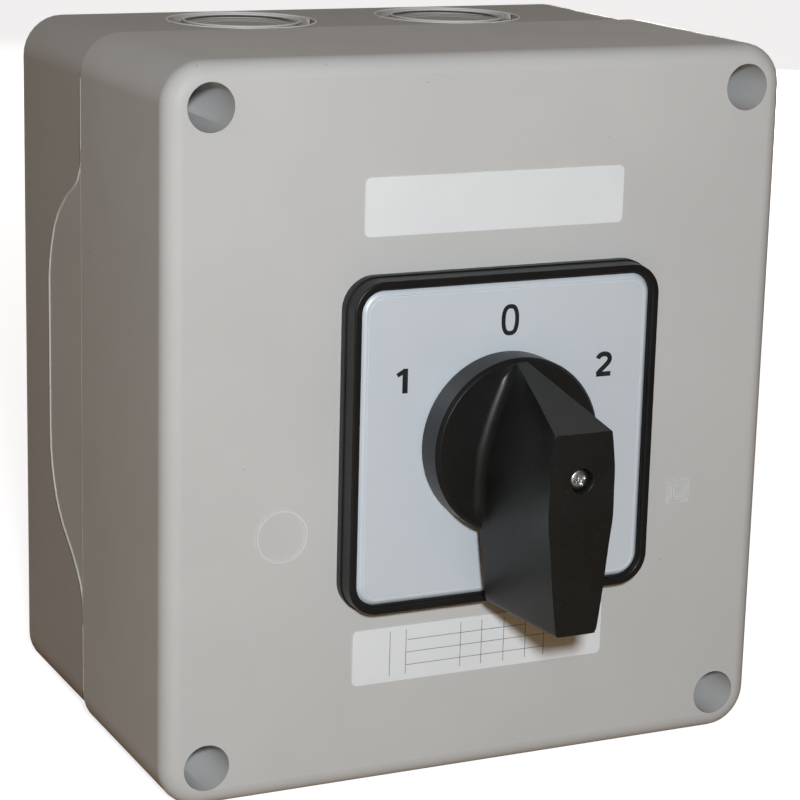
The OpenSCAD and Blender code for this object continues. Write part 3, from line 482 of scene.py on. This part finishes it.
def bezier(p0, p1, p2, p3, n=10):
    out = []
    for k in range(n + 1):
        t = k / n
        u = 1 - t
        out.append(tuple(u ** 3 * a + 3 * u * u * t * b + 3 * u * t * t * c + t ** 3 * d
                         for a, b, c, d in zip(p0, p1, p2, p3)))
    return out


def place(pts, cx, cz):
    return [(AX + (cx + x) * MM, AZ + (cz + z) * MM) for x, z in pts]


INK0, INK1 = PLATE + 0.01 * MM, PLATE - 0.03 * MM
bm = bmesh.new()
zero = []
for k in range(44):
    a = 2 * math.pi * k / 44
    c, s = math.cos(a), math.sin(a)
    zero.append((1.95 * math.copysign(abs(c) ** 0.72, c), 3.5 * math.copysign(abs(s) ** 0.86, s)))
stroke(bm, place(zero, 1.1, 31.2), 1.15 * MM, INK0, INK1, True)
stroke(bm, place([(-1.85, 1.55), (0.25, 2.7)], -28.5, 17.5), 1.15 * MM, INK0, INK1)
stroke(bm, place([(0.35, 3.2), (0.35, -3.2)], -28.5, 17.5), 1.5 * MM, INK0, INK1 - 0.005 * MM)
two = bezier((-1.75, 1.6), (-1.5, 3.05), (1.9, 3.3), (1.75, 1.25), 12)[:-1] + bezier(
    (1.75, 1.25), (1.65, 0.1), (-0.6, -1.1), (-1.85, -2.6), 10)
stroke(bm, place(two, 29.0, 17.4), 1.3 * MM, INK0, INK1)
stroke(bm, place([(-2.1, -2.62), (2.15, -2.62)], 29.0, 17.4), 1.25 * MM, INK0, INK1 - 0.005 * MM)
coat(add("dial_numbers", bm), "ink", "cover")

# ---------------------------------------------------------------- stickers
lo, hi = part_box("rating_label")
STICK = lo.y
bm = bmesh.new()
L0, L1 = STICK + 0.01 * MM, STICK - 0.02 * MM
for x0, z0, x1, z1 in ((-19.6, -56.8, 15.1, -56.8), (-19.8, -63.7, 20.9, -63.7), (-4.1, -54.0, -4.1, -66.2),
                       (2.1, -54.0, 2.1, -66.2), (8.7, -54.0, 8.7, -66.2), (15.2, -54.0, 15.2, -66.2),
                       (20.8, -57.0, 20.8, -66.2), (-24.6, -54.0, -24.6, -66.2), (-20.0, -54.0, -20.0, -66.2),
                       (-20.0, -60.2, 36.0, -60.2)):
    stroke(bm, [(x0 * MM, z0 * MM), (x1 * MM, z1 * MM)], 0.16 * MM, L0, L1)
coat(add("rating_lines", bm), "line_ink", "cover")

# ---------------------------------------------------------------- handle
lo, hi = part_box("handle")
FACE = (FRONT - lo.y) / MM
DISC_BACK = (FRONT - PLATE) / MM + 0.5
DISC = DISC_BACK + 8.9
ROWS = [(1, 0.12, 1, 0.87, 0), (0.75, 0.43, 0.67, 0.93, 0.8), (0.35, 0.77, 0.25, 0.99, 1),
        (-0.04, 0.98, -0.09, 1, 0.7), (-0.3, 1, -0.25, 1, 0.3), (-0.52, 0.97, -0.43, 0.91, 0.1),
        (-0.76, 0.86, -0.7, 0.79, 0), (-0.95, 0.76, -0.95, 0.65, 0), (-1, 0.68, -1, 0.57, 0)]
TIP, TAIL, ROOT_W, FACE_W, TOP, END, HOLLOW = 22.6, 40.6, 20.8, 18.0, 12.0, 39.6, 2.4


def row_at(s):
    """The grip's control row at a place s from 0 to 8, on a smooth curve through the rows."""
    k = min(int(s), len(ROWS) - 2)
    t = s - k
    p = [ROWS[max(0, min(len(ROWS) - 1, k + d))] for d in (-1, 0, 1, 2)]
    return [0.5 * (2 * b + (c - a) * t + (2 * a - 5 * b + 4 * c - d) * t * t + (3 * b - a - 3 * c + d) * t ** 3)
            for a, b, c, d in zip(*p)]


def flank(s, t):
    """Half width and height of the grip's flank at place s and level t from root to face."""
    r = row_at(s)
    y0 = r[0] * (TIP if r[0] > 0 else TAIL)
    y1 = r[2] * (TOP if r[2] > 0 else END)
    w = r[1] * ROOT_W / 2 * (1 - t) + r[3] * FACE_W / 2 * t - HOLLOW * max(0.0, r[4]) * math.sin(math.pi * t)
    return w, y0 * (1 - t) + y1 * t


def grip_ring(t, up, flare):
    pts = []
    stations = [8 * k / 40 for k in range(41)]
    half = []
    for s in stations:
        w, v = flank(s, t)
        edge = 22.0 - math.hypot(w, v)
        k = max(0.0, min(1.0, edge / 4.0))
        half.append((w + flare * k * k * (3 - 2 * k), v))
    top_w, top_v = half[0]
    end_w, end_v = half[-1]
    ring = [(-w, v) for w, v in half]
    ring += [(-end_w + 2 * end_w * k / 6, end_v) for k in range(1, 6)]
    ring += [(w, v) for w, v in reversed(half)]
    ring += [(top_w - 2 * top_w * k / 6, top_v) for k in range(1, 6)]
    return [Vector((AX + x * MM, FRONT - up * MM, AZ + v * MM)) for x, v in ring]


bm = bmesh.new()
root = DISC - 0.9
rings = []
fillet = 2.6
for k in range(7):
    a = math.radians(90 * k / 6)
    up = DISC - 0.02 + fillet * (1 - math.cos(a))
    rings.append(grip_ring((up - root) / (FACE - root), up, fillet * (1 - math.sin(a))))
rings.insert(0, grip_ring(0.0, root, 0.0))
steps = 22
for k in range(1, steps + 1):
    up = DISC + fillet + (FACE - DISC - fillet) * k / steps
    rings.append(grip_ring((up - root) / (FACE - root), up, 0.0))
vs = loops(bm, rings)
face_ring = set(vs[-1])
picked = [e for e in bm.edges if e.verts[0] in face_ring and e.verts[1] in face_ring
          and len(e.link_faces) == 2]
for c in (0, 40, 46, 86):  # the corners of a grip ring
    col = [r[c] for r in vs[1:]]
    for a, b in zip(col, col[1:]):
        e = bm.edges.get((a, b))
        if e:
            picked.append(e)
bmesh.ops.bevel(bm, geom=list(dict.fromkeys(picked)), offset=0.55 * MM, offset_type="OFFSET", segments=3, profile=0.5,
                affect="EDGES", clamp_overlap=True, loop_slide=True)
grip = add("handle_grip", bm, 40)

bm = bmesh.new()
R = 23.3
prof = [(9.05, DISC_BACK), (R - 0.3, DISC_BACK), (R, DISC_BACK + 0.3)]
prof += [(R, DISC - 1.15), (R - 0.08, DISC - 0.98), (R - 0.86, DISC - 0.08), (R - 1.05, DISC),
         (12.0, DISC), (9.0, DISC)]
outer = [circle(AX, AZ, r * MM, FRONT - u * MM, 96) for r, u in prof]
loops(bm, outer)
disc = add("handle_disc", bm, 30)

bm = bmesh.new()
spig = [(9.0, -2.0), (9.0, DISC_BACK + 1.0)]
loops(bm, [circle(AX, AZ, r * MM, FRONT - u * MM, 64) for r, u in spig])
spigot = add("handle_spigot", bm, 30)


def boolean(obj, tool, operation="DIFFERENCE"):
    b = obj.modifiers.new("cut", "BOOLEAN")
    b.operation = operation
    b.solver = "EXACT"
    b.object = tool
    dg = bpy.context.evaluated_depsgraph_get()
    me = bpy.data.meshes.new_from_object(obj.evaluated_get(dg))
    obj.modifiers.remove(b)
    old = obj.data
    obj.data = me
    bpy.data.meshes.remove(old)
    bpy.data.objects.remove(tool)


for o in (grip, disc, spigot):
    o.modifiers.remove(o.modifiers["weighted"])
boolean(grip, disc, "UNION")
boolean(grip, spigot, "UNION")
bm = bmesh.new()
hole = [(3.1, FACE - 3.6), (3.1, FACE - 0.25), (3.17, FACE - 0.1), (3.35, FACE + 0.02), (3.6, FACE + 1.0)]
loops(bm, [circle(AX, AZ, r * MM, FRONT - u * MM, 48) for r, u in hole])
tool = add("tool", bm)
tool.modifiers.clear()
boolean(grip, tool)
me = grip.data
me.polygons.foreach_set("use_smooth", [True] * len(me.polygons))
me.set_sharp_from_angle(angle=math.radians(34))
w = grip.modifiers.new("weighted", "WEIGHTED_NORMAL")
w.keep_sharp = True
w.weight = 80
grip.name = "handle_moulding"
coat(grip, "handle_black", "rotor", replaces=["handle"])


# ---------------------------------------------------------------- screws
def screw_head(name, cx, cz, seat, r, h, shank_r, shank_l):
    """A pan head with a cross recess. seat is the y of its underside; the head points to -y."""
    bm = bmesh.new()
    prof = [(shank_r, seat + shank_l), (shank_r, seat), (r * 0.96, seat), (r, seat - h * 0.12), (r, seat - h * 0.45)]
    prof += [(r * math.cos(a) ** 0.6 * 0.999, seat - h * (0.45 + 0.55 * math.sin(a)))
             for a in [math.radians(x) for x in (15, 30, 45, 60, 72, 82)]]
    loops(bm, [circle(cx, cz, q, y, 48) for q, y in prof])
    obj = add(name, bm, 30)
    obj.modifiers.clear()
    for turn in (0, 90):
        bm = bmesh.new()
        c, s = math.cos(math.radians(turn + 20)), math.sin(math.radians(turn + 20))
        rings = []
        for depth, half, thick in ((0.35 * h, 0.30 * r, 0.09 * r), (1.05 * h, 0.62 * r, 0.15 * r)):
            pts = []
            for u, v in ((-half, -thick), (half, -thick), (half, thick), (-half, thick)):
                pts.append(Vector((cx + u * c - v * s, seat - depth, cz + u * s + v * c)))
            rings.append(pts)
        loops(bm, rings)
        tool = add("tool", bm)
        tool.modifiers.clear()
        boolean(obj, tool)
    return obj


lo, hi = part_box("handle_screw")
cap = screw_head("handle_screw_zinc", AX, AZ, FRONT - (FACE - 3.6) * MM, 2.75 * MM, 2.2 * MM, 1.5 * MM,
                 hi.y - (FRONT - (FACE - 3.6) * MM))
coat(cap, "zinc_steel", "rotor", replaces=["handle_screw"])

# ---------------------------------------------------------------- contact springs
# Each spring stands between the deck and its bridge; here each is split out as its own piece and named for the
# nearest bridge, with its ends near and far from that bridge noted
whole = bmesh.new()
whole.from_mesh(nodes["contact_springs"].data)
bmesh.ops.remove_doubles(whole, verts=whole.verts[:], dist=WELD)
islands, seen = [], set()
for v in whole.verts:
    if v in seen:
        continue
    group, queue = [], [v]
    seen.add(v)
    while queue:
        a = queue.pop()
        group.append(a)
        for e in a.link_edges:
            b = e.other_vert(a)
            if b not in seen:
                seen.add(b)
                queue.append(b)
    islands.append(group)
springs = []
for group in islands:
    index = {v: i for i, v in enumerate(group)}
    bm = bmesh.new()
    made = [bm.verts.new(v.co) for v in group]
    for f in dict.fromkeys(f for v in group for f in v.link_faces):  # a set has no fixed order
        bm.faces.new([made[index[v]] for v in f.verts])
    xs = [v.co.x for v in group]
    c = sum((v.co for v in group), Vector()) / len(group)
    best = None
    for k in "123":
        for s in "ab":
            b0, b1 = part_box("bridge_" + k + s)
            gap = ((b0 + b1) / 2 - c).length
            if best is None or gap < best[0]:
                best = (gap, k + s, (b0 + b1) / 2)
    near, far = (min(xs), max(xs)) if abs(min(xs) - best[2].x) < abs(max(xs) - best[2].x) else (max(xs), min(xs))
    obj = add("contact_spring_" + best[1], bm, 50)
    coat(obj, "spring_steel", replaces=["contact_springs"])
    springs.append((obj, "contact_" + best[1], (far, c.y, c.z), (near, c.y, c.z)))
whole.free()
for obj, body, far, near in springs:
    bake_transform(obj)

# ---------------------------------------------------------------- camera
cam = bpy.data.cameras.new("camera")
eye = bpy.data.objects.new("camera", cam)
scene.collection.objects.link(eye)
right = Vector((0.9049, -0.4250, 0.0249)).normalized()
look = Vector((0.4176, 0.8749, -0.2452)).normalized()
right = (right - look * right.dot(look)).normalized()
up = right.cross(look)
m = Matrix((right, up, -look)).transposed().to_4x4()
m.translation = Vector((-0.3018, -0.7002, 0.1714))
eye.matrix_world = m
FOCAL_PX, IMAGE_PX, SENSOR = 2622, 800, 36
cam.sensor_width = SENSOR
cam.lens = FOCAL_PX / IMAGE_PX * SENSOR
cam.clip_start, cam.clip_end = 0.05, 50
scene.camera = eye

# ---------------------------------------------------------------- floor, light and world
# To the camera the floor is pale. Other rays meet a brown floor, which warms the box from below.
FLOOR = cad_lo.z
bm = bmesh.new()
loops(bm, [[Vector((x, y, FLOOR - d)) for x, y in ((-6, -6), (6, -6), (6, 6), (-6, 6))] for d in (0.02, 0.0)])
floor = add("floor", bm)
floor.modifiers.clear()
fm, n_, l_, s_ = graph("floor_pale")
tone = n_.new("ShaderNodeMix")
tone.data_type = "RGBA"
tone.inputs[6].default_value = (0.42, 0.29, 0.17, 1)
tone.inputs[7].default_value = (0.80, 0.79, 0.78, 1)
l_.new(tone.outputs[2], s_.inputs["Base Color"])
s_.inputs["Roughness"].default_value = 0.9
s_.inputs["Specular IOR Level"].default_value = 0.1
path = n_.new("ShaderNodeLightPath")
emit = n_.new("ShaderNodeEmission")
emit.inputs["Color"].default_value = (0.80, 0.81, 0.83, 1)
l_.new(path.outputs["Is Camera Ray"], emit.inputs["Strength"])
l_.new(path.outputs["Is Camera Ray"], tone.inputs[0])
sum_ = n_.new("ShaderNodeAddShader")
l_.new(s_.outputs["BSDF"], sum_.inputs[0])
l_.new(emit.outputs["Emission"], sum_.inputs[1])
out_ = n_["Material Output"]
l_.new(sum_.outputs["Shader"], out_.inputs["Surface"])
floor.data.materials.append(fm)
floor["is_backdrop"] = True


def lamp(name, place_, target, size, power, colour):
    d = bpy.data.lights.new(name, "AREA")
    d.shape = "DISK"
    d.size = size
    d.energy = power
    d.color = colour
    o = bpy.data.objects.new(name, d)
    scene.collection.objects.link(o)
    o.location = place_
    o.rotation_mode = "QUATERNION"
    o.rotation_quaternion = (Vector(target) - Vector(place_)).to_track_quat("-Z", "Y")
    return o


lamp("key", (-0.31, -0.83, 0.28), (0, -0.117, 0), 0.06, 5.4, (0.93, 0.985, 1.02))
lamp("back", (0.85, 1.25, 0.0), (0, 0, 0), 0.17, 14.0, (1.0, 0.97, 0.94))

# Dim warm fill; white for the camera and transmission, and for gloss a grey that brightens with y
world = bpy.data.worlds.new("studio")
scene.world = world
world.use_nodes = True
wn, wl = world.node_tree.nodes, world.node_tree.links
bg = wn["Background"]
bg.inputs["Color"].default_value = (0.080, 0.044, 0.016, 1)
bg.inputs["Strength"].default_value = 1.0
white = wn.new("ShaderNodeBackground")
white.inputs["Strength"].default_value = 1.0
split = wn.new("ShaderNodeSeparateXYZ")
wl.new(wn.new("ShaderNodeTexCoord").outputs["Generated"], split.inputs[0])
ramp = wn.new("ShaderNodeValToRGB")
ramp.color_ramp.elements[0].position = 0.0
ramp.color_ramp.elements[0].color = (0.05, 0.045, 0.04, 1)
ramp.color_ramp.elements[1].position = 0.25
ramp.color_ramp.elements[1].color = (0.66, 0.65, 0.63, 1)
wl.new(split.outputs["Y"], ramp.inputs["Fac"])
room = wn.new("ShaderNodeMix")
room.data_type = "RGBA"
p = wn.new("ShaderNodeLightPath")
wl.new(p.outputs["Is Glossy Ray"], room.inputs[0])
room.inputs[6].default_value = (1, 1, 1, 1)
wl.new(ramp.outputs["Color"], room.inputs[7])
wl.new(room.outputs[2], white.inputs["Color"])
m1 = wn.new("ShaderNodeMath")
m1.operation = "MAXIMUM"
m2 = wn.new("ShaderNodeMath")
m2.operation = "MAXIMUM"
wl.new(p.outputs["Is Camera Ray"], m1.inputs[0])
wl.new(p.outputs["Is Glossy Ray"], m1.inputs[1])
wl.new(m1.outputs[0], m2.inputs[0])
wl.new(p.outputs["Is Transmission Ray"], m2.inputs[1])
mixw = wn.new("ShaderNodeMixShader")
wl.new(m2.outputs[0], mixw.inputs["Fac"])
wl.new(bg.outputs[0], mixw.inputs[1])
wl.new(white.outputs[0], mixw.inputs[2])
wl.new(mixw.outputs[0], wn["World Output"].inputs["Surface"])

scene.view_settings.view_transform = "Standard"

lo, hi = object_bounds()
